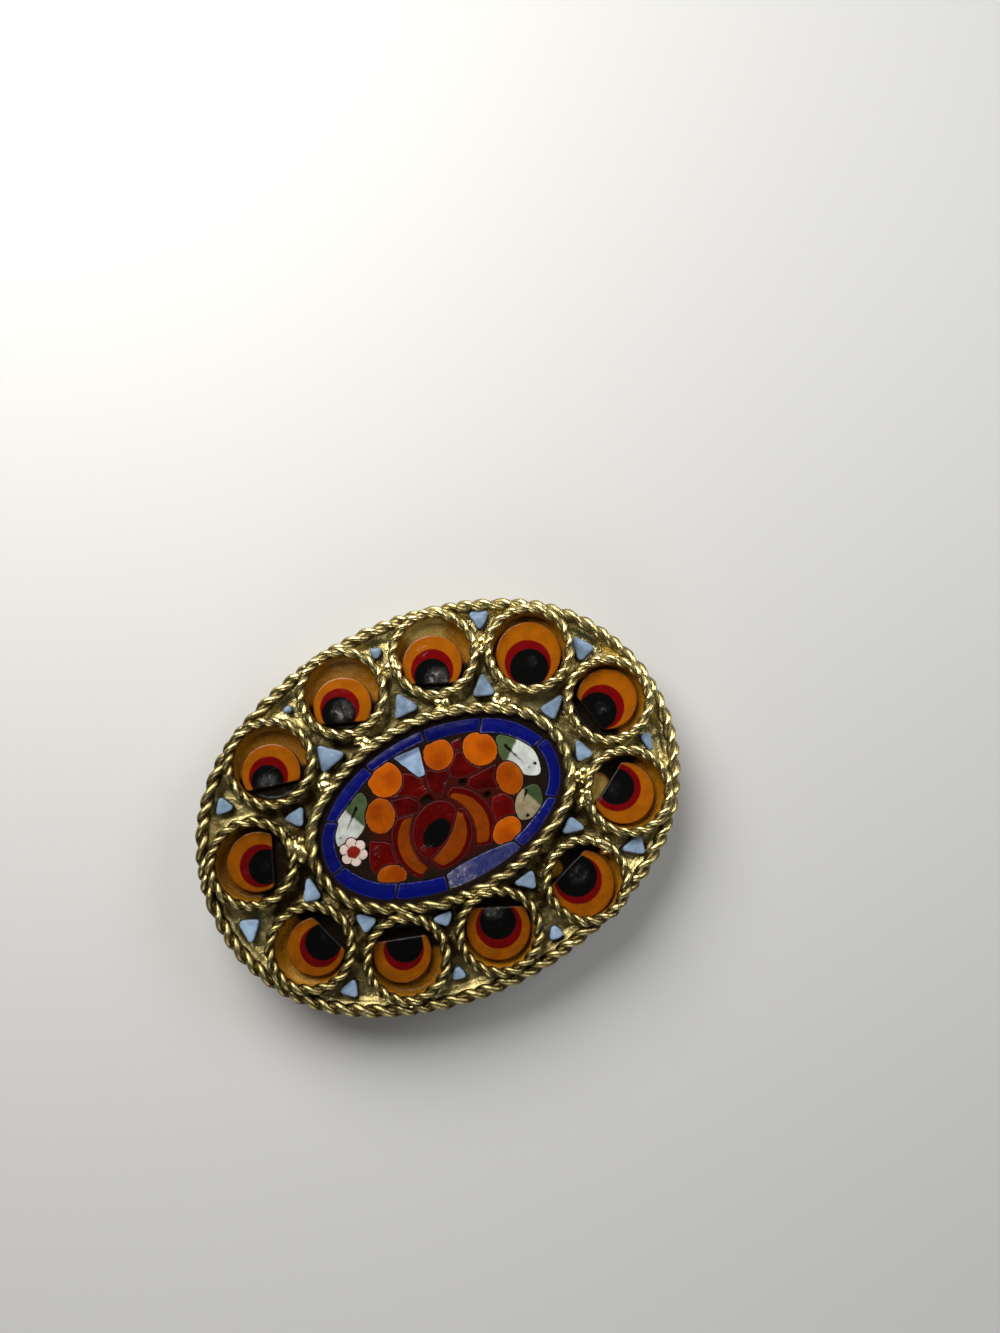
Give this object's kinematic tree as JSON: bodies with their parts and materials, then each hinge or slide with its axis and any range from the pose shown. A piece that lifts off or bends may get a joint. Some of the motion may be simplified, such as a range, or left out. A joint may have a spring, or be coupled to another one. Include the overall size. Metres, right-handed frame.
{
  "type": "oval micromosaic brooch",
  "caption": "Oval gilt brass brooch with a glass rose mosaic, ringed by round twisted-wire settings that each hold a glass eye slice, on a pin back.",
  "frame": {"origin": "centre of the bounding box in X and Y, at the surface that the brooch lies on", "axes": "+Z out of the brooch's face, +X along its length, +Y across it; the pin's hinge is at -X and its catch at +X"},
  "size_m": [0.036, 0.0276, 0.0053],
  "materials": {
    "gilt_brass": "pale gilt, worn bright on the wires, brown in the recesses",
    "gilt_brass_back": "plain gilt, lightly tarnished",
    "cement": "olive tan mosaic cement, matt",
    "dark_cement": "black brown mosaic cement, matt",
    "light_blue_glass": "glossy opaque glass, ground flat on top",
    "dark_blue_glass": "glossy opaque glass, ground flat on top",
    "eye_glass": "glossy layered glass: orange, dark red and black",
    "orange_glass": "glossy opaque glass, ground flat on top",
    "dark_red_glass": "glossy opaque glass, ground flat on top",
    "rose_heart_glass": "glossy layered glass: dark red round black",
    "rose_petal_glass": "glossy layered glass: orange edged with dark red",
    "leaf_glass": "glossy layered glass: green at the tip, white at the foot",
    "white_flower_glass": "glossy layered glass: white petals round a red middle"
  },
  "bodies": {
    "root": {"band_tile_01": "dark_blue_glass", "band_tile_02": "dark_blue_glass", "band_tile_03": "dark_blue_glass", "band_tile_04": "dark_blue_glass", "band_tile_05": "dark_blue_glass", "band_tile_06": "dark_blue_glass", "band_tile_07": "dark_blue_glass", "band_tile_08": "dark_blue_glass", "band_tile_09": "dark_blue_glass", "band_tile_10": "dark_blue_glass", "bud_1": "orange_glass", "bud_2": "orange_glass", "bud_3": "orange_glass", "bud_4": "orange_glass", "bud_5": "orange_glass", "bud_6": "orange_glass", "bud_7": "orange_glass", "centre_cement": "dark_cement", "eye_a": "eye_glass", "eye_b": "eye_glass", "eye_c": "eye_glass", "eye_d": "eye_glass", "eye_e": "eye_glass", "eye_f": "eye_glass", "eye_g": "eye_glass", "eye_h": "eye_glass", "eye_i": "eye_glass", "eye_j": "eye_glass", "eye_k": "eye_glass", "inner_triangles": "light_blue_glass", "leaf_left": "leaf_glass", "leaf_right": "leaf_glass", "leaf_top": "leaf_glass", "outer_triangles": "light_blue_glass", "pin_back": "gilt_brass_back", "red_petals": "dark_red_glass", "ring_cement": "cement", "rose_heart": "rose_heart_glass", "rose_petal_inner": "rose_petal_glass", "rose_petal_left": "rose_petal_glass", "rose_petal_outer": "rose_petal_glass", "setting": "gilt_brass", "sky_tile": "light_blue_glass", "white_flower": "white_flower_glass"}
  },
  "joints": []
}
